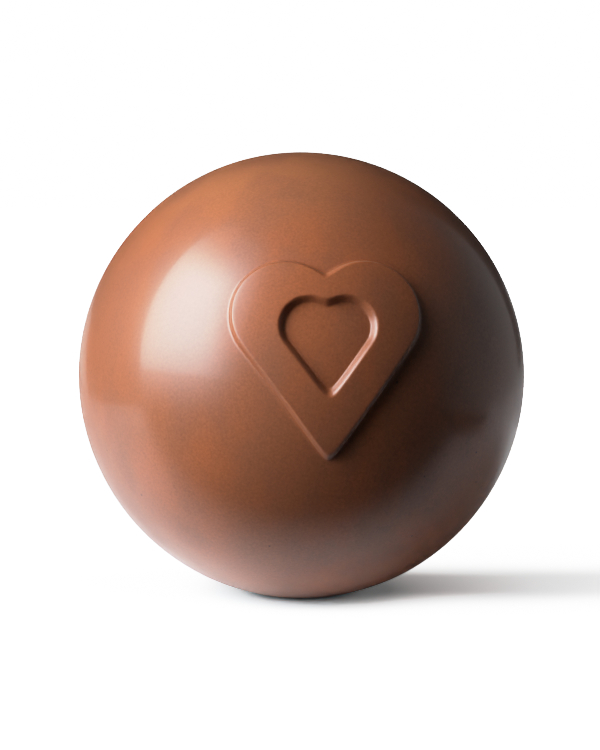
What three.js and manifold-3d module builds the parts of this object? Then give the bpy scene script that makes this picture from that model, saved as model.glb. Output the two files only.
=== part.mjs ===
// A milk chocolate sphere for hot chocolate: one moulded ball with a raised heart ring on its
// front and a small flat spot underneath, on which it rests.
// Millimetres, +Z up. The origin is the middle of the flat spot, and the heart looks along -Y.

import * as THREE from "three";
import { mergeVertices } from "three/addons/utils/BufferGeometryUtils.js";
import Module from "manifold-3d";

// Driving dimensions
const BALL_RADIUS = 30;
const FLAT_SPOT_RADIUS = 5;
const HEART_TILT = THREE.MathUtils.degToRad(9); // the heart's middle looks up by this angle
const LOBE_RADIUS = 6.9; // of the heart's two round lobes
const LOBE_SIDE = 5; // from the heart's middle line to the middle of a lobe
const TIP_HALF_ANGLE = THREE.MathUtils.degToRad(36); // between a straight side and the middle line
const TIP_ROUNDING = 1; // radius of the heart's lower tip
const STROKE = 5.2; // width of the ring along its straight sides, foot to foot
const COUNTER_LOBE_SIDE = 2.3; // the same for the heart-shaped space inside the ring
const COUNTER_LOBE_DROP = 1.5; // its lobes' middles lie this much lower
const COUNTER_TIP_ROUNDING = 0.4;
const FOLD_ROUNDING = 0.6; // softens the corners on the middle line, at the tips and the clefts
const RELIEF = 0.95; // how far the ring stands out of the ball
const BEVEL = 0.8; // width of the soft slope along each edge of the ring
const BEVEL_LEAN = 0.75; // below 1, the slope's foot is sharper than its brow

// Fineness of the mesh
const RAYS = 144; // round the heart, from its middle
const BACK_RAYS = RAYS / 2; // round the plain rest of the ball
const COUNTER_STEPS = 3; // from the heart's middle to the ring's inner foot
const BEVEL_STEPS = 5;
const TOP_STEPS = 2;
const BLEND_STEPS = 3; // from the ring's outer foot to the collar circle
const COLLAR_ANGLE = THREE.MathUtils.degToRad(40); // from the heart's middle, seen from the ball's
const BACK_STEPS = 24; // from the collar circle to the back of the ball
const BISECTIONS = 40;

// What follows from them
const ballHeight = Math.sqrt(BALL_RADIUS ** 2 - FLAT_SPOT_RADIUS ** 2);
const sideNormal = new THREE.Vector2(Math.cos(TIP_HALF_ANGLE), -Math.sin(TIP_HALF_ANGLE));
const sideUpward = new THREE.Vector2(Math.sin(TIP_HALF_ANGLE), Math.cos(TIP_HALF_ANGLE));
const counterMoved = new THREE.Vector2(LOBE_SIDE - COUNTER_LOBE_SIDE, COUNTER_LOBE_DROP);
const counterLobeRadius = LOBE_RADIUS - STROKE + counterMoved.dot(sideNormal);

// Directions at the heart's middle: to its right, up along it, and out of the ball.
const right = new THREE.Vector3(1, 0, 0);
const up = new THREE.Vector3(0, Math.sin(HEART_TILT), Math.cos(HEART_TILT));
const out = new THREE.Vector3(0, -Math.cos(HEART_TILT), Math.sin(HEART_TILT));

// A heart's outline. A half of it is a lobe's arc, from the cleft round to a straight side that
// runs down to the tip, all grown by the tip's rounding. Gives the height of its top and bottom
// above the lobes' middles, and how far a point is outside it, or, below zero, inside it.
function heartOutline(lobeSide, lobeRadius, tipRounding) {
  const coreRadius = lobeRadius - tipRounding;
  const tipDepth = (coreRadius + lobeSide * sideNormal.x) / sideUpward.x;
  const sideLength = lobeSide * sideUpward.x + tipDepth * sideUpward.y;
  const cleftHeight = Math.sqrt(coreRadius ** 2 - lobeSide ** 2);
  const cleftDirection = Math.atan2(cleftHeight, -lobeSide);
  const outside = (across, y) => {
    const x = Math.hypot(across, FOLD_ROUNDING);
    const fromLobe = new THREE.Vector2(x - lobeSide, y);
    const outOfLobe = fromLobe.length() - coreRadius;
    const outOfSide = fromLobe.dot(sideNormal) - coreRadius;
    const upSide = fromLobe.dot(sideUpward);
    const toSide = Math.hypot(outOfSide, Math.max(upSide, -sideLength - upSide, 0));
    const direction = Math.atan2(fromLobe.y, fromLobe.x);
    const facesArc = direction > -TIP_HALF_ANGLE && direction < cleftDirection;
    const toArc = facesArc ? Math.abs(outOfLobe) : Math.hypot(x, y - cleftHeight);
    const inside = outOfLobe < 0 || (y < 0 && upSide < 0 && outOfSide < 0);
    return Math.min(toSide, toArc) * (inside ? -1 : 1) - tipRounding;
  };
  return { top: lobeRadius, bottom: -tipDepth - tipRounding, outside };
}

const heart = heartOutline(LOBE_SIDE, LOBE_RADIUS, TIP_ROUNDING);
const counter = heartOutline(COUNTER_LOBE_SIDE, counterLobeRadius, COUNTER_TIP_ROUNDING);
const heartMiddle = (heart.top + heart.bottom) / 2;

// How far a point of the heart's plane, measured from the heart's middle, is outside the ring's
// outer edge and outside its counter.
const outsideHeart = (across, along) => heart.outside(across, along + heartMiddle);
const outsideCounter = (across, along) =>
  counter.outside(across, along + heartMiddle + COUNTER_LOBE_DROP);

// The angle, seen from the ball's middle, between the heart's middle and the place on a ray
// where an outline lies once it is grown by a distance (or shrunk, below zero).
function reachAngle(outside, ray, grown) {
  let near = 0;
  let far = BALL_RADIUS;
  for (let i = 0; i < BISECTIONS; i++) {
    const reach = (near + far) / 2;
    if (outside(reach * Math.cos(ray), reach * Math.sin(ray)) < grown) near = reach;
    else far = reach;
  }
  return Math.asin(far / BALL_RADIUS);
}

// The point of the ball at an angle from the heart's middle, in a ray's direction, at a height
// above the ball's surface.
function ballPoint(ray, angle, height) {
  const radius = BALL_RADIUS + height;
  return new THREE.Vector3()
    .addScaledVector(right, radius * Math.sin(angle) * Math.cos(ray))
    .addScaledVector(up, radius * Math.sin(angle) * Math.sin(ray))
    .addScaledVector(out, radius * Math.cos(angle))
    .add(new THREE.Vector3(0, 0, ballHeight));
}

// The ring's height at a share of the slope's width from its foot.
const slopeHeight = (share) => RELIEF * Math.sin((Math.PI / 2) * share ** BEVEL_LEAN) ** 2;

// The rings of the mesh, from the heart's middle out: each has a number of rays, and gives for
// a ray the angle from the heart's middle and the height above the ball.
function heartRings() {
  const rings = [];
  const add = (angle, height) => rings.push({ rays: RAYS, angle, height });
  const counterAngle = (grown) => (ray) => reachAngle(outsideCounter, ray, grown);
  const heartAngle = (grown) => (ray) => reachAngle(outsideHeart, ray, grown);
  const between = (first, second, share) => (ray) =>
    THREE.MathUtils.lerp(first(ray), second(ray), share);
  const middle = () => 0;
  const collar = () => COLLAR_ANGLE;
  for (let i = 1; i < COUNTER_STEPS; i++) {
    add(between(middle, counterAngle(0), i / COUNTER_STEPS), 0);
  }
  for (let i = 0; i <= BEVEL_STEPS; i++) {
    add(counterAngle((BEVEL * i) / BEVEL_STEPS), slopeHeight(i / BEVEL_STEPS));
  }
  for (let i = 1; i < TOP_STEPS; i++) {
    add(between(counterAngle(BEVEL), heartAngle(-BEVEL), i / TOP_STEPS), RELIEF);
  }
  for (let i = BEVEL_STEPS; i >= 0; i--) {
    add(heartAngle((-BEVEL * i) / BEVEL_STEPS), slopeHeight(i / BEVEL_STEPS));
  }
  for (let i = 1; i < BLEND_STEPS; i++) {
    add(between(heartAngle(0), collar, i / BLEND_STEPS), 0);
  }
  return rings;
}

function backRings() {
  const rings = [];
  for (let i = 0; i < BACK_STEPS; i++) {
    const angle = THREE.MathUtils.lerp(COLLAR_ANGLE, Math.PI, i / BACK_STEPS);
    rings.push({ rays: BACK_RAYS, angle: () => angle, height: 0 });
  }
  return rings;
}

// The whole ball with its heart, before the flat spot is cut: rings of points joined by bands,
// with a fan at the heart's middle and one at the back.
function ballGeometry() {
  const points = [];
  const faces = [];
  const addPoint = (point) => points.push(...point.toArray());
  addPoint(ballPoint(0, 0, 0));
  let last = null;
  for (const ring of [...heartRings(), ...backRings()]) {
    const start = points.length / 3;
    for (let i = 0; i < ring.rays; i++) {
      const ray = Math.PI / 2 + (2 * Math.PI * i) / ring.rays;
      addPoint(ballPoint(ray, ring.angle(ray), ring.height));
    }
    const now = { at: (i) => start + (i % ring.rays), rays: ring.rays };
    for (let i = 0; i < now.rays; i++) {
      if (!last) {
        faces.push(0, now.at(i), now.at(i + 1));
      } else if (last.rays === now.rays) {
        faces.push(last.at(i), now.at(i), now.at(i + 1));
        faces.push(last.at(i), now.at(i + 1), last.at(i + 1));
      } else {
        faces.push(last.at(2 * i), now.at(i), last.at(2 * i + 1));
        faces.push(last.at(2 * i + 1), now.at(i), now.at(i + 1));
        faces.push(last.at(2 * i + 1), now.at(i + 1), last.at(2 * i + 2));
      }
    }
    last = now;
  }
  const back = points.length / 3;
  addPoint(ballPoint(0, Math.PI, 0));
  for (let i = 0; i < last.rays; i++) faces.push(last.at(i), back, last.at(i + 1));
  return new THREE.BufferGeometry()
    .setAttribute("position", new THREE.Float32BufferAttribute(points, 3))
    .setIndex(faces);
}

const wasm = await Module();
wasm.setup();

function solidOf(geometry) {
  const bare = geometry.clone().deleteAttribute("normal").deleteAttribute("uv");
  const merged = mergeVertices(bare, 1e-4);
  const vertProperties = new Float32Array(merged.attributes.position.array);
  const triVerts = new Uint32Array(merged.index.array);
  return new wasm.Manifold(new wasm.Mesh({ numProp: 3, vertProperties, triVerts }));
}

function geometryOf(solid) {
  const mesh = solid.getMesh();
  const geometry = new THREE.BufferGeometry()
    .setAttribute("position", new THREE.BufferAttribute(mesh.vertProperties, 3))
    .setIndex(new THREE.BufferAttribute(mesh.triVerts, 1));
  geometry.computeVertexNormals();
  return geometry;
}

// What the table would cut off the ball: everything under the flat spot.
function belowTheTable() {
  const side = 2 * BALL_RADIUS;
  return new THREE.BoxGeometry(side, side, side).translate(0, 0, -side / 2);
}

const milkChocolate = new THREE.MeshStandardMaterial({
  color: 0x8a5537,
  roughness: 0.38,
  metalness: 0,
});

function chocolateSphere() {
  const geometry = geometryOf(solidOf(ballGeometry()).subtract(solidOf(belowTheTable())));
  const mesh = new THREE.Mesh(geometry, milkChocolate);
  mesh.name = "chocolate_sphere";
  return mesh;
}

const part = new THREE.Group();
part.add(chocolateSphere());

export default part;
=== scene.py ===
# A milk chocolate ball for hot chocolate, moulded with a raised heart ring, on a white table
# with one large softbox at its left. Metres, +Z up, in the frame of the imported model.
# The ball is made once more from the sizes of its CAD node, in a far finer mesh.
import math

import bmesh
import bpy
import numpy as np
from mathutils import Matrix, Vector


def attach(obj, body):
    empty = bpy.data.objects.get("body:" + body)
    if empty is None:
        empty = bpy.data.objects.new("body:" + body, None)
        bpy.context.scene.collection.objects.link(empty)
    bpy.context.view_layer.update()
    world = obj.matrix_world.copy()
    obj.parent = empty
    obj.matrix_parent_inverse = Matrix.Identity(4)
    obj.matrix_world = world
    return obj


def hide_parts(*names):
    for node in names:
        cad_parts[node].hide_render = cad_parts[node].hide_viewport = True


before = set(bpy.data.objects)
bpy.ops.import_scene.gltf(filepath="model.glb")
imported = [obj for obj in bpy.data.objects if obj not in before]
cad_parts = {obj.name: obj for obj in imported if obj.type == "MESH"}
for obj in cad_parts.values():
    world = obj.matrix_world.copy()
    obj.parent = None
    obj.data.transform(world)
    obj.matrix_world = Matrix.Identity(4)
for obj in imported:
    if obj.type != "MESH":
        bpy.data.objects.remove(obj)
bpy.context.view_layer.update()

MM = 0.001

# The ball, with the sizes of its CAD node
BALL_RADIUS = 30 * MM
FLAT_SPOT_RADIUS = 5 * MM
HEART_TILT = math.radians(9)
LOBE_RADIUS = 6.9 * MM
LOBE_SIDE = 5.0 * MM
TIP_HALF_ANGLE = math.radians(36)
TIP_ROUNDING = 1.0 * MM
STROKE = 5.2 * MM
COUNTER_LOBE_SIDE = 2.3 * MM
COUNTER_LOBE_DROP = 1.5 * MM
COUNTER_TIP_ROUNDING = 0.4 * MM
FOLD_ROUNDING = 0.6 * MM
RELIEF = 0.95 * MM
BEVEL = 0.8 * MM
BEVEL_LEAN = 0.75

# Fineness of the ball's mesh
FRONT_RAYS = 576
COUNTER_STEPS = 26
BEVEL_STEPS = 14
TOP_STEPS = 14
BLEND_STEPS = 24
COLLAR_ANGLE = math.radians(40)
BACK_STEPS = 110
BISECTIONS = 40
CUT_TOLERANCE = 1e-7

# The photograph's frame and the camera
PHOTO_WIDTH, PHOTO_HEIGHT = 600, 750
BALL_MIDDLE_PX = (301.2, 374.7)
BALL_RADIUS_PX = 222.9
LENS_MM, SENSOR_MM = 100, 36
CAMERA_CLIP = (0.01, 20)
CAMERA_AZIMUTH = math.radians(-6.5)
CAMERA_ELEVATION = math.radians(5.5)

ball_height = math.sqrt(BALL_RADIUS**2 - FLAT_SPOT_RADIUS**2)
ball_middle = Vector((0, 0, ball_height))
side_normal = np.array((math.cos(TIP_HALF_ANGLE), -math.sin(TIP_HALF_ANGLE)))
side_upward = np.array((math.sin(TIP_HALF_ANGLE), math.cos(TIP_HALF_ANGLE)))
heart_right = np.array((1, 0, 0))
heart_up = np.array((0, math.sin(HEART_TILT), math.cos(HEART_TILT)))
heart_out = np.array((0, -math.cos(HEART_TILT), math.sin(HEART_TILT)))


# ---------------------------------------------------------------- the ball's shape


def heart_outline(lobe_side, lobe_radius, tip_rounding):
    """A heart's top and bottom above its lobes' middles, and a function that says how far
    points are outside it, or, below zero, inside it."""
    core_radius = lobe_radius - tip_rounding
    tip_depth = (core_radius + lobe_side * side_normal[0]) / side_upward[0]
    side_length = lobe_side * side_upward[0] + tip_depth * side_upward[1]
    cleft_height = math.sqrt(core_radius**2 - lobe_side**2)
    cleft_direction = math.atan2(cleft_height, -lobe_side)

    def outside(across, y):
        x = np.hypot(across, FOLD_ROUNDING)
        from_lobe = np.stack((x - lobe_side, y))
        out_of_lobe = np.hypot(*from_lobe) - core_radius
        out_of_side = side_normal @ from_lobe - core_radius
        up_side = side_upward @ from_lobe
        past_end = np.maximum(np.maximum(up_side, -side_length - up_side), 0)
        to_side = np.hypot(out_of_side, past_end)
        direction = np.arctan2(from_lobe[1], from_lobe[0])
        faces_arc = (direction > -TIP_HALF_ANGLE) & (direction < cleft_direction)
        to_arc = np.where(faces_arc, abs(out_of_lobe), np.hypot(x, y - cleft_height))
        inside = (out_of_lobe < 0) | ((y < 0) & (up_side < 0) & (out_of_side < 0))
        return np.minimum(to_side, to_arc) * np.where(inside, -1, 1) - tip_rounding

    return lobe_radius, -tip_depth - tip_rounding, outside


counter_moved = np.array((LOBE_SIDE - COUNTER_LOBE_SIDE, COUNTER_LOBE_DROP))
counter_lobe_radius = LOBE_RADIUS - STROKE + counter_moved @ side_normal
heart_top, heart_bottom, heart_outside = heart_outline(LOBE_SIDE, LOBE_RADIUS, TIP_ROUNDING)
heart_middle = (heart_top + heart_bottom) / 2
_, _, counter_outside = heart_outline(
    COUNTER_LOBE_SIDE, counter_lobe_radius, COUNTER_TIP_ROUNDING
)


def outside_heart(across, along):
    return heart_outside(across, along + heart_middle)


def outside_counter(across, along):
    return counter_outside(across, along + heart_middle + COUNTER_LOBE_DROP)


def reach_angles(outside, rays, grown):
    """For each ray from the heart's middle, the angle at the ball's middle between the heart's
    middle and the place where an outline lies once it is grown by a distance."""
    near, far = np.zeros_like(rays), np.full_like(rays, BALL_RADIUS)
    for _ in range(BISECTIONS):
        reach = (near + far) / 2
        short = outside(reach * np.cos(rays), reach * np.sin(rays)) < grown
        near, far = np.where(short, reach, near), np.where(short, far, reach)
    return np.arcsin(far / BALL_RADIUS)


def slope_height(share):
    """The ring's height at a share of the slope's width from its foot."""
    return RELIEF * math.sin(math.pi / 2 * share**BEVEL_LEAN) ** 2


def ball_rings():
    """(rays, angles from the heart's middle, height above the ball) of each ring of the mesh,
    from the heart's middle out."""
    front = math.pi / 2 + np.arange(FRONT_RAYS) * 2 * math.pi / FRONT_RAYS
    back = front[::2]  # the plain rest of the ball needs only every other ray
    inner_foot = reach_angles(outside_counter, front, 0)
    inner_brow = reach_angles(outside_counter, front, BEVEL)
    outer_brow = reach_angles(outside_heart, front, -BEVEL)
    outer_foot = reach_angles(outside_heart, front, 0)
    rings = [(front, inner_foot * i / COUNTER_STEPS, 0) for i in range(1, COUNTER_STEPS)]
    for i in range(BEVEL_STEPS):
        share = i / BEVEL_STEPS
        angles = reach_angles(outside_counter, front, BEVEL * share)
        rings.append((front, angles, slope_height(share)))
    for i in range(TOP_STEPS + 1):
        share = i / TOP_STEPS
        rings.append((front, inner_brow * (1 - share) + outer_brow * share, RELIEF))
    for i in reversed(range(BEVEL_STEPS)):
        share = i / BEVEL_STEPS
        angles = reach_angles(outside_heart, front, -BEVEL * share)
        rings.append((front, angles, slope_height(share)))
    for i in range(1, BLEND_STEPS):
        share = i / BLEND_STEPS
        rings.append((front, outer_foot * (1 - share) + COLLAR_ANGLE * share, 0))
    for i in range(BACK_STEPS):
        angle = COLLAR_ANGLE + (math.pi - COLLAR_ANGLE) * i / BACK_STEPS
        rings.append((back, np.full_like(back, angle), 0))
    return rings


# Unevenness of a ball that was cast and joined by hand: gentle waves in random directions.
WAVE_SEED = 11
WAVES = 9
WAVE_HEIGHT = 0.05 * MM
WAVE_TURNS = (1.5, 6.0)


def unevenness(directions):
    """How far the surface rises in each direction from the ball's middle."""
    rng = np.random.default_rng(WAVE_SEED)
    height = np.zeros(len(directions))
    for _ in range(WAVES):
        turns = rng.uniform(*WAVE_TURNS)
        along = rng.normal(size=3)
        phase = rng.uniform(0, 2 * math.pi)
        along /= np.linalg.norm(along)
        height += np.sin(directions @ along * turns + phase) * WAVE_HEIGHT / turns
    return height


def ball_points():
    """The ball's points, with the heart's middle first and the back of the ball last, and how
    many of them each ring has."""
    rings = ball_rings()
    directions, heights = [heart_out[None, :]], [np.zeros(1)]
    for rays, angles, height in rings:
        across = np.outer(np.sin(angles) * np.cos(rays), heart_right)
        along = np.outer(np.sin(angles) * np.sin(rays), heart_up)
        directions.append(across + along + np.outer(np.cos(angles), heart_out))
        heights.append(np.full(len(rays), height))
    directions.append(-heart_out[None, :])
    heights.append(np.zeros(1))
    directions = np.concatenate(directions)
    radii = BALL_RADIUS + np.concatenate(heights) + unevenness(directions)
    return directions * radii[:, None] + np.array(ball_middle), [len(r[0]) for r in rings]


def ball_faces(ring_sizes):
    """A fan at the heart's middle, bands between the rings, and a fan at the back."""
    faces = []
    start, last, last_size = 1, None, 0
    for size in ring_sizes:
        now = start + np.append(np.arange(size), 0)
        if last is None:
            faces += [(0, a, b) for a, b in zip(now, now[1:])]
        elif last_size == size:
            faces += list(zip(last, now, now[1:], last[1:]))
        else:
            for i in range(size):
                a, b, c = last[2 * i : 2 * i + 3]
                faces += [(a, now[i], b), (b, now[i], now[i + 1]), (b, now[i + 1], c)]
        start, last, last_size = start + size, now, size
    faces += [(a, start, b) for a, b in zip(last, last[1:])]
    return faces


def cut_flat_spot(mesh):
    """Cuts off what the table would, and closes the ball with the flat spot."""
    bm = bmesh.new()
    bm.from_mesh(mesh)
    parts = bm.verts[:] + bm.edges[:] + bm.faces[:]
    bmesh.ops.bisect_plane(
        bm,
        geom=parts,
        dist=CUT_TOLERANCE,
        plane_co=(0, 0, 0),
        plane_no=(0, 0, 1),
        clear_inner=True,
    )
    rim = [edge for edge in bm.edges if edge.is_boundary]
    spot = bmesh.ops.edgeloop_fill(bm, edges=rim)["faces"]
    bmesh.ops.recalc_face_normals(bm, faces=bm.faces[:])
    bmesh.ops.triangulate(bm, faces=spot)
    bm.to_mesh(mesh)
    bm.free()


def make_ball():
    points, ring_sizes = ball_points()
    mesh = bpy.data.meshes.new("chocolate_ball")
    faces = [tuple(int(v) for v in face) for face in ball_faces(ring_sizes)]
    mesh.from_pydata(points.tolist(), [], faces)
    cut_flat_spot(mesh)
    mesh.shade_smooth()
    ball = bpy.data.objects.new("chocolate_ball", mesh)
    bpy.context.scene.collection.objects.link(ball)
    return ball


# ---------------------------------------------------------------- materials


class Nodes:
    """Builds a node tree: each call adds nodes and gives an output of the last one."""

    def __init__(self, tree):
        self.tree = tree
        tree.nodes.clear()

    def add(self, kind, inputs=None, output=0, **settings):
        node = self.tree.nodes.new(kind)
        for name, value in settings.items():
            setattr(node, name, value)
        for name, value in (inputs or {}).items():
            if isinstance(value, bpy.types.NodeSocket):
                self.tree.links.new(value, node.inputs[name])
            else:
                node.inputs[name].default_value = value
        return node.outputs[output] if node.outputs else None

    def noise(self, place, scale, detail, offset):
        """Noise from 0 to 1, in features about 1 / scale metres wide."""
        moved = self.add("ShaderNodeVectorMath", {0: place, 1: (offset, -offset, offset)})
        settings = {"Vector": moved, "Scale": scale, "Detail": detail}
        return self.add("ShaderNodeTexNoise", settings)

    def span(self, value, low, high, to_low=0.0, to_high=1.0, kind="SMOOTHSTEP"):
        """The value, with its range from low to high stretched to another one."""
        inputs = {"Value": value, 1: low, 2: high, 3: to_low, 4: to_high}
        return self.add("ShaderNodeMapRange", inputs, interpolation_type=kind)

    def math(self, operation, first, second):
        return self.add("ShaderNodeMath", {0: first, 1: second}, operation=operation)

    def mix(self, share, first, second):
        """The first colour turned into the second by a share."""
        inputs = {0: share, 6: first, 7: second}
        return self.add("ShaderNodeMix", inputs, output=2, data_type="RGBA")

    def scale(self, colour, factor):
        return self.add("ShaderNodeVectorMath", {0: colour, 3: factor}, operation="SCALE")

    def measure(self, operation, first, second=(0, 0, 0)):
        """A number from one or two vectors: DISTANCE, LENGTH or DOT_PRODUCT."""
        inputs = {0: first, 1: second}
        return self.add("ShaderNodeVectorMath", inputs, output="Value", operation=operation)

    def component(self, axis, vector):
        return self.add("ShaderNodeSeparateXYZ", {0: vector}, output=axis)

    def bump(self, height, distance, normal=None):
        inputs = {"Strength": 1.0, "Distance": distance, "Height": height}
        if normal:
            inputs["Normal"] = normal
        return self.add("ShaderNodeBump", inputs)


def new_material(name):
    material = bpy.data.materials.new(name)
    material.use_nodes = True
    return material, Nodes(material.node_tree)


# Milk chocolate, where it is warmer or duller, and painted light from above that makes it paler
# on top of the ball
MILK = (0.206, 0.073, 0.032, 1)
WARM_MILK = (0.240, 0.077, 0.030, 1)
DULL_MILK = (0.168, 0.065, 0.033, 1)
PAINTED_TOP_LIGHT = (0.246, 0.093, 0.039, 1)
PAINTED_TOP_LIGHT_MIDDLE, PAINTED_TOP_LIGHT_FADE = (-0.006, -0.005, 0.060), (0.008, 0.023)
# Its patterns of noise: (features for each metre, detail, offset), and the range of the noise
# over which each sets in
MOTTLE, MOTTLE_RANGE = (45, 2, 0.0), (0.4, 0.6)
STREAKS, STREAK_RANGE, STREAK_DULLNESS = (130, 3, 0.3), (0.4, 0.65), 0.6
STREAK_STRETCH = (1, 1, 0.4)  # the streaks are longer upright
GRAIN, GRAIN_RANGE, GRAIN_CONTRAST = (3400, 1, 0.7), (0.2, 0.8), (0.84, 1.16)
GRAIN_DEPTH = 0.0004 * MM
PEEL, PEEL_DEPTH = (150, 2, 0.5), 0.020 * MM
# Its gloss, and a thin skin that is smoother than what is under it. The roughness under the
# skin stays above 0.275, because the denoiser draws a hard line where it crosses that.
GLOSS_IOR = 1.48
GLOSS_RANGE, ROUGHNESS = (0.3, 0.7), (0.30, 0.37)
SKIN_SHARE, SKIN_ROUGHNESS = 0.3, 0.09
# Its pin-holes: their colour, cells for each metre, a hole's radius, and the share of cells
# that have one
PIT_MILK = (0.070, 0.024, 0.011, 1)
PIT_CELLS = 260
PIT_RADIUS = 0.2 * MM
PIT_SHARE = 0.35


def pin_holes(nodes, place):
    """1 in the few pin-holes that small bubbles left, 0 elsewhere."""
    settings = {"Vector": place, "Scale": PIT_CELLS}
    off = nodes.add("ShaderNodeTexVoronoi", settings)
    cell = nodes.add("ShaderNodeTexVoronoi", settings, output="Color")
    chance = nodes.add("ShaderNodeSeparateColor", {0: cell})
    size = PIT_RADIUS * PIT_CELLS
    dot = nodes.span(off, size / 2, size, 1, 0)
    picked = nodes.math("LESS_THAN", chance, PIT_SHARE)
    return nodes.math("MULTIPLY", dot, picked)


def chocolate_material():
    material, nodes = new_material("milk_chocolate")
    place = nodes.add("ShaderNodeTexCoord", output="Object")
    upright = nodes.add(
        "ShaderNodeVectorMath", {0: place, 1: STREAK_STRETCH}, operation="MULTIPLY"
    )
    mottle = nodes.noise(place, *MOTTLE)
    streak = nodes.noise(upright, *STREAKS)
    grain = nodes.noise(place, *GRAIN)
    peel = nodes.noise(place, *PEEL)

    colour = nodes.mix(nodes.span(mottle, *MOTTLE_RANGE), MILK, WARM_MILK)
    # Painted light from above: the ball is paler round its top
    off = nodes.measure("DISTANCE", place, PAINTED_TOP_LIGHT_MIDDLE)
    colour = nodes.mix(nodes.span(off, *PAINTED_TOP_LIGHT_FADE, 1, 0), colour, PAINTED_TOP_LIGHT)
    dull = nodes.span(streak, *STREAK_RANGE, 0, STREAK_DULLNESS)
    colour = nodes.mix(dull, colour, DULL_MILK)
    light_or_dark = nodes.span(grain, *GRAIN_RANGE, *GRAIN_CONTRAST, "LINEAR")
    colour = nodes.scale(colour, light_or_dark)
    colour = nodes.mix(pin_holes(nodes, place), colour, PIT_MILK)
    roughness = nodes.span(streak, *GLOSS_RANGE, *ROUGHNESS)
    bump = nodes.bump(grain, GRAIN_DEPTH, nodes.bump(peel, PEEL_DEPTH))
    shader = nodes.add(
        "ShaderNodeBsdfPrincipled",
        {
            "Base Color": colour,
            "Roughness": roughness,
            "IOR": GLOSS_IOR,
            "Specular IOR Level": (1 - SKIN_SHARE) / 2,  # a half is the full gloss
            "Normal": bump,
            "Coat Weight": SKIN_SHARE,
            "Coat Roughness": SKIN_ROUGHNESS,
            "Coat IOR": GLOSS_IOR,
            "Coat Normal": bump,
        },
    )
    nodes.add("ShaderNodeOutputMaterial", {"Surface": shader})
    return material


# ---------------------------------------------------------------- the studio

# The photograph's own directions on the table. The studio is laid out along them, and stays
# where it is in every view.
photo_right = Vector((math.cos(CAMERA_AZIMUTH), math.sin(CAMERA_AZIMUTH), 0))
photo_toward = Vector((math.sin(CAMERA_AZIMUTH), -math.cos(CAMERA_AZIMUTH), 0))


def studio_point(right, toward, up):
    """A point from its distances from the flat spot: to the photograph's right, toward its
    camera, and up."""
    return photo_right * right + photo_toward * toward + Vector((0, 0, up))


def stage_sheet(name, points, faces, material, seen):
    """A sheet of the stage, which either only the camera sees or only the light sees."""
    mesh = bpy.data.meshes.new(name)
    mesh.from_pydata(points, [], faces)
    mesh.materials.append(material)
    sheet = bpy.data.objects.new(name, mesh)
    bpy.context.scene.collection.objects.link(sheet)
    sheet.visible_camera = seen
    sheet.visible_diffuse = sheet.visible_glossy = not seen
    sheet.visible_transmission = sheet.visible_shadow = False
    return sheet


def flat_sheet(name, corners, material, seen):
    points = [studio_point(*corner) for corner in corners]
    stage_sheet(name, points, [range(len(corners))], material, seen)


def around(azimuth, elevation, distance):
    """A point round the ball's middle. Azimuth 0 is the photograph's side, and azimuths on its
    left are negative."""
    level = distance * math.cos(elevation)
    up = ball_height + distance * math.sin(elevation)
    return studio_point(level * math.sin(azimuth), level * math.cos(azimuth), up)


# The softbox at the left, the grey of the room at the right, and the white behind, each a sheet
# on a sphere round the ball: its distance, (the azimuth of its first side at its foot and its
# top), the same of its other side, (the elevation of its foot and its top)
BOX_SPAN = 0.25, (-80.8, -99), (-33.5, -22.5), (-10, 66)
ROOM_SPAN = 0.5, (62, 62), (144, 144), (-13, 52)
BACK_SPAN = 0.5, (158, 158), (226, 214), (-12, 3.5)
SHEET_STEPS = 10

# The softbox's light. Places are shares across and up its sheet; the other shares are of its
# full light. It falls off round a hot spot, fades towards its other side and its head, is a
# little dimmer at its foot, and has a sharp edge there with a faint glow under it.
BOX_WHITE = (1.0, 0.988, 1.05, 1)
BOX_HOT, BOX_FALLOFF = (0.55, 0.575), (0.0, 0.7)
BOX_RADIANCE, BOX_RIM_RADIANCE = 17.0, 10.5
BOX_SIDE, BOX_SIDE_SHARE = (0.64, 1.0), 0.14
BOX_HEAD, BOX_HEAD_SHARE = (0.67, 0.93), 0.13
BOX_FOOT, BOX_FOOT_SHARE = (0.180, 0.32), 0.82
BOX_EDGE, BOX_UNDER_SHARES = (0.166, 0.180), (0.06, 0.32)
# The room brightens from its first side on and dims towards its top. The white behind
# brightens from its first side on.
ROOM_LIT, ROOM_RADIANCE = (0.0, 0.35), (0.05, 0.34)
ROOM_DIM, ROOM_TOP_SHARE = (0.3, 1.0), 0.28
BACK_LIT, BACK_RADIANCE = (0.2, 0.7), (0.55, 0.95)

# The table that the ball reflects: its white, its outline, where it fades out toward the camera,
# and where a painted contact shadow darkens it round the flat spot
TABLE_WHITE = 0.81
TABLE_OUTLINE = (
    (-0.160, 0.034),
    (0.075, 0.034),
    (0.090, -0.005),
    (0.170, -0.045),
    (0.5, -1.5),
    (-0.160, -1.5),
)
TABLE_FADE = (0.018, 0.034)
TABLE_CONTACT_SHADOW = (0.003, 0.010)
# Painted light that its white gives off, though it is no lamp, in round spots near the ball and
# behind it: (its radiance, its middle, where its fading starts and ends)
PAINTED_TABLE_GLOWS = (
    (0.40, (-0.015, 0.005), 0.004, 0.021),
    (0.17, (0.008, 0.022), 0.004, 0.020),
    (0.20, (-0.046, 0.010), 0.006, 0.024),
    (0.42, (0.062, -0.085), 0.012, 0.060),
    (0.25, (-0.140, -0.220), 0.050, 0.130),
)
# More of this painted light towards the right: (its radiance, where it starts, where it is full)
RIGHT_GLOWS = (0.11, 0.020, 0.050), (0.12, 0.070, 0.110)
# Painted shade at its left: (the share of the white there, and the rest as for the lit spots)
TABLE_SHADE = 0.70, (-0.130, -0.060), 0.030, 0.115
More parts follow.
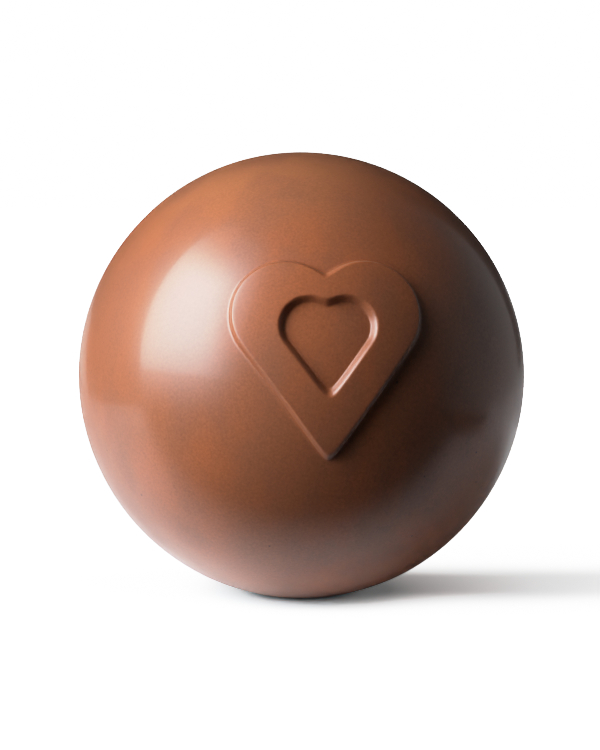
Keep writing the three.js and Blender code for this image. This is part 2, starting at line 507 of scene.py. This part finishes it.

# The floor that the camera sees, in rings round the flat spot: a painted contact shadow at the
# contact, cooler painted shade at its rim, and white beyond. Its glows are painted light that
# brightens it away from the ball, beside the shadow and far off, lightening and narrowing the
# ball's shadow. The shadow's middle line passes SHADOW_BEHIND behind the flat spot.
FLOOR_HALF = 3.0
CONTACT_PAINTED_SHADOW = (0.30, 0.42, 0.44, 1)
RIM_PAINTED_SHADE = (1.3, 1.64, 1.70, 1)
FLOOR_WHITE = (1.95, 2.0, 2.02, 1)
CONTACT_END, RIM_END = (0.0045, 0.009), (0.009, 0.018)
CONTACT_GLOW = 0.07
SHADOW_GLOW, SHADOW_GLOW_RANGE = 0.80, (0.012, 0.044)
SHADOW_BEHIND = 0.0045
BESIDE_GLOW, BESIDE_RANGE, BESIDE_CLEAR = 2.9, (0.0045, 0.025), (0.006, 0.024)
FLOOR_GLOW, FLOOR_GLOW_RANGE = 3.2, (0.05, 0.16)

# The table and the floor lie this far under the ball, so that neither touches its flat spot.
TABLE_DROP, FLOOR_DROP = 0.1 * MM, 0.05 * MM

# What the world gives off: to the light, and to the camera
ROOM_GREY = 0.03
BACKDROP_WHITE = 5.0

WHITE = (1, 1, 1, 1)


def light_material(name, radiance, white):
    """A light of its own, whose radiance depends on the place on the sheet: the function gets
    the nodes and the shares across and up it, and gives a socket."""
    material, nodes = new_material(name)
    place = nodes.add("ShaderNodeTexCoord", output="UV")
    light = nodes.add("ShaderNodeEmission", {"Color": white, "Strength": radiance(nodes, place)})
    nodes.add("ShaderNodeOutputMaterial", {"Surface": light})
    return material


def box_radiance(nodes, place):
    offset = nodes.add(
        "ShaderNodeVectorMath", {0: place, 1: (*BOX_HOT, 0)}, operation="SUBTRACT"
    )
    off = nodes.measure("LENGTH", offset)
    bright = nodes.span(off, *BOX_FALLOFF, BOX_RADIANCE, BOX_RIM_RADIANCE)
    across, upward = nodes.component("X", place), nodes.component("Y", place)
    under = nodes.span(upward, 0, BOX_EDGE[0], *BOX_UNDER_SHARES)
    shares = (
        nodes.span(across, *BOX_SIDE, 1, BOX_SIDE_SHARE),
        nodes.span(upward, *BOX_EDGE, under, 1),
        nodes.span(upward, *BOX_FOOT, BOX_FOOT_SHARE, 1),
        nodes.span(upward, *BOX_HEAD, 1, BOX_HEAD_SHARE),
    )
    for share in shares:
        bright = nodes.math("MULTIPLY", bright, share)
    return bright


def room_radiance(nodes, place):
    bright = nodes.span(nodes.component("X", place), *ROOM_LIT, *ROOM_RADIANCE)
    dim = nodes.span(nodes.component("Y", place), *ROOM_DIM, 1, ROOM_TOP_SHARE)
    return nodes.math("MULTIPLY", bright, dim)


def back_radiance(nodes, place):
    return nodes.span(nodes.component("X", place), *BACK_LIT, *BACK_RADIANCE)


def round_sheet(name, span, radiance, white=WHITE):
    """A sheet of light on a sphere round the ball."""
    distance, *ends_in_degrees = span
    first, other, heights = (tuple(map(math.radians, ends)) for ends in ends_in_degrees)
    side = SHEET_STEPS + 1
    shares = [(i / SHEET_STEPS, j / SHEET_STEPS) for j in range(side) for i in range(side)]
    points = []
    for across, upward in shares:
        start, end = (ends[0] + (ends[1] - ends[0]) * upward for ends in (first, other))
        elevation = heights[0] + (heights[1] - heights[0]) * upward
        points.append(around(start + (end - start) * across, elevation, distance))
    corners = [i + side * j for j in range(SHEET_STEPS) for i in range(SHEET_STEPS)]
    faces = [(c, c + 1, c + 1 + side, c + side) for c in corners]
    light = light_material(name, radiance, white)
    sheet = stage_sheet(name, points, faces, light, seen=False)
    layer = sheet.data.uv_layers.new(name="sheet")
    for loop, place in zip(sheet.data.loops, layer.data):
        place.uv = shares[loop.vertex_index]


def by_distance(nodes, place, middle, start, end, at_middle, beyond):
    """A number that turns from one value to another with the distance from a studio point."""
    off = nodes.measure("DISTANCE", place, studio_point(*middle, 0))
    return nodes.span(off, start, end, at_middle, beyond)


def glowing_white(nodes, white, glow):
    """A dull white that also gives off some light of its own."""
    shader = nodes.add("ShaderNodeBsdfDiffuse", {"Color": white})
    light = nodes.add("ShaderNodeEmission", {"Strength": glow})
    both = nodes.add("ShaderNodeAddShader", {0: shader, 1: light})
    nodes.add("ShaderNodeOutputMaterial", {"Surface": both})


def table_material():
    """The white that the ball reflects, with glowing spots of painted light near and behind the
    ball, painted shade at its left and a painted contact shadow round the flat spot.
    """
    material, nodes = new_material("table")
    place = nodes.add("ShaderNodeTexCoord", output="Object")
    glow = 0.0
    # Painted light: glowing spots near the ball and behind it, and more glow towards the right
    for radiance, middle, start, end in PAINTED_TABLE_GLOWS:
        near = by_distance(nodes, place, middle, start, end, radiance, 0)
        glow = nodes.math("ADD", glow, near)
    rightward = nodes.measure("DOT_PRODUCT", place, photo_right)
    for radiance, start, end in RIGHT_GLOWS:
        glow = nodes.math("ADD", glow, nodes.span(rightward, start, end, 0, radiance))
    toward = nodes.measure("DOT_PRODUCT", place, photo_toward)
    away = nodes.measure("LENGTH", place)
    # The table ends toward the camera, and a painted contact shadow darkens it round the flat
    # spot
    end_and_contact_shadow = nodes.math(
        "MULTIPLY", nodes.span(toward, *TABLE_FADE, 1, 0), nodes.span(away, *TABLE_CONTACT_SHADOW)
    )
    # Painted shade at the table's left
    share, middle, start, end = TABLE_SHADE
    shade = by_distance(nodes, place, middle, start, end, share, 1)
    white = nodes.scale((TABLE_WHITE,) * 3, nodes.math("MULTIPLY", end_and_contact_shadow, shade))
    glowing_white(nodes, white, nodes.math("MULTIPLY", glow, end_and_contact_shadow))
    return material


def floor_material():
    """The white that the camera sees: overexposed, and brighter away from the ball by glows of
    painted light, with a painted contact shadow round the flat spot.
    """
    material, nodes = new_material("floor")
    place = nodes.add("ShaderNodeTexCoord", output="Object")
    away = nodes.measure("LENGTH", place)
    # Painted light: glows that lighten the shadow away from the ball, narrow it beside its
    # middle line, and whiten the floor far off
    near = nodes.span(away, *SHADOW_GLOW_RANGE, 0, SHADOW_GLOW, "LINEAR")
    toward = nodes.measure("DOT_PRODUCT", place, photo_toward)
    off_axis = nodes.math("ABSOLUTE", nodes.math("ADD", toward, SHADOW_BEHIND), 0)
    beside = nodes.span(off_axis, *BESIDE_RANGE, 0, BESIDE_GLOW)
    beside = nodes.math("MULTIPLY", beside, nodes.span(away, *BESIDE_CLEAR))
    far = nodes.span(away, *FLOOR_GLOW_RANGE, 0, FLOOR_GLOW)
    edge = nodes.span(away, *CONTACT_END, 0, CONTACT_GLOW)
    glow = nodes.math("ADD", nodes.math("ADD", near, beside), nodes.math("ADD", edge, far))
    # Painted contact shadow under the ball, with cooler painted shade at its rim
    white = nodes.mix(nodes.span(away, *CONTACT_END), CONTACT_PAINTED_SHADOW, RIM_PAINTED_SHADE)
    white = nodes.mix(nodes.span(away, *RIM_END), white, FLOOR_WHITE)
    glowing_white(nodes, white, glow)
    return material


def add_studio():
    round_sheet("softbox", BOX_SPAN, box_radiance, BOX_WHITE)
    round_sheet("room", ROOM_SPAN, room_radiance)
    round_sheet("back", BACK_SPAN, back_radiance)
    table = [(x, y, -TABLE_DROP) for x, y in TABLE_OUTLINE]
    flat_sheet("table", table, table_material(), seen=False)
    h = FLOOR_HALF
    floor = [(x, y, -FLOOR_DROP) for x, y in ((-h, -h), (h, -h), (h, h), (-h, h))]
    flat_sheet("floor", floor, floor_material(), seen=True)


def add_world():
    """Round the studio: nearly black to the light, and pure white to the camera."""
    world = bpy.data.worlds.new("studio")
    world.use_nodes = True
    nodes = Nodes(world.node_tree)
    seen = nodes.add("ShaderNodeLightPath", output="Is Camera Ray")
    strength = nodes.span(seen, 0, 1, ROOM_GREY, BACKDROP_WHITE, "LINEAR")
    light = nodes.add("ShaderNodeBackground", {"Strength": strength})
    nodes.add("ShaderNodeOutputWorld", {"Surface": light})
    bpy.context.scene.world = world


def add_camera():
    """The camera looks so that the ball's middle falls where the photograph has it."""
    pixels_per_mm = PHOTO_HEIGHT / SENSOR_MM
    focal_px = LENS_MM * pixels_per_mm
    distance = BALL_RADIUS / math.sin(math.atan(BALL_RADIUS_PX / focal_px))
    outward = photo_toward * math.cos(CAMERA_ELEVATION)
    outward += Vector((0, 0, math.sin(CAMERA_ELEVATION)))
    data = bpy.data.cameras.new("camera")
    data.lens, data.sensor_width, data.sensor_fit = LENS_MM, SENSOR_MM, "AUTO"
    data.clip_start, data.clip_end = CAMERA_CLIP
    data.shift_x = (PHOTO_WIDTH / 2 - BALL_MIDDLE_PX[0]) / PHOTO_HEIGHT
    data.shift_y = (BALL_MIDDLE_PX[1] - PHOTO_HEIGHT / 2) / PHOTO_HEIGHT
    camera = bpy.data.objects.new("camera", data)
    camera.location = ball_middle + outward * distance
    camera.rotation_euler = (-outward).to_track_quat("-Z", "Y").to_euler()
    bpy.context.scene.collection.objects.link(camera)
    bpy.context.scene.camera = camera


# The photograph's highlights: a radiance stays as it is up to a knee, then bends towards white
KNEE = 0.68
KNEE_SOFTNESS = 0.64
CURVE_END = 4.0
CURVE_POINTS = 33


def exposed(radiance):
    """What the picture shows of a radiance, where 1 is white."""
    past = max(radiance - KNEE, 0)
    return min(radiance, KNEE) + (1 - KNEE) * (1 - math.exp(-past / KNEE_SOFTNESS))


def set_exposure():
    """Draws the curve of exposed() point by point into the scene's view settings."""
    settings = bpy.context.scene.view_settings
    settings.view_transform, settings.look = "Standard", "None"
    settings.use_curve_mapping = True
    mapping = settings.curve_mapping
    mapping.use_clip = False
    mapping.clip_max_x = CURVE_END
    *_, combined = mapping.curves
    points = combined.points
    points[0].location = (0, 0)
    points[1].location = (CURVE_END, 1)
    for i in range(1, CURVE_POINTS):
        radiance = CURVE_END * i / CURVE_POINTS
        points.new(radiance, exposed(radiance))
    mapping.update()


ball = make_ball()
ball.data.materials.append(chocolate_material())
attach(ball, "root")
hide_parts("chocolate_sphere")

add_studio()
add_world()
add_camera()
set_exposure()
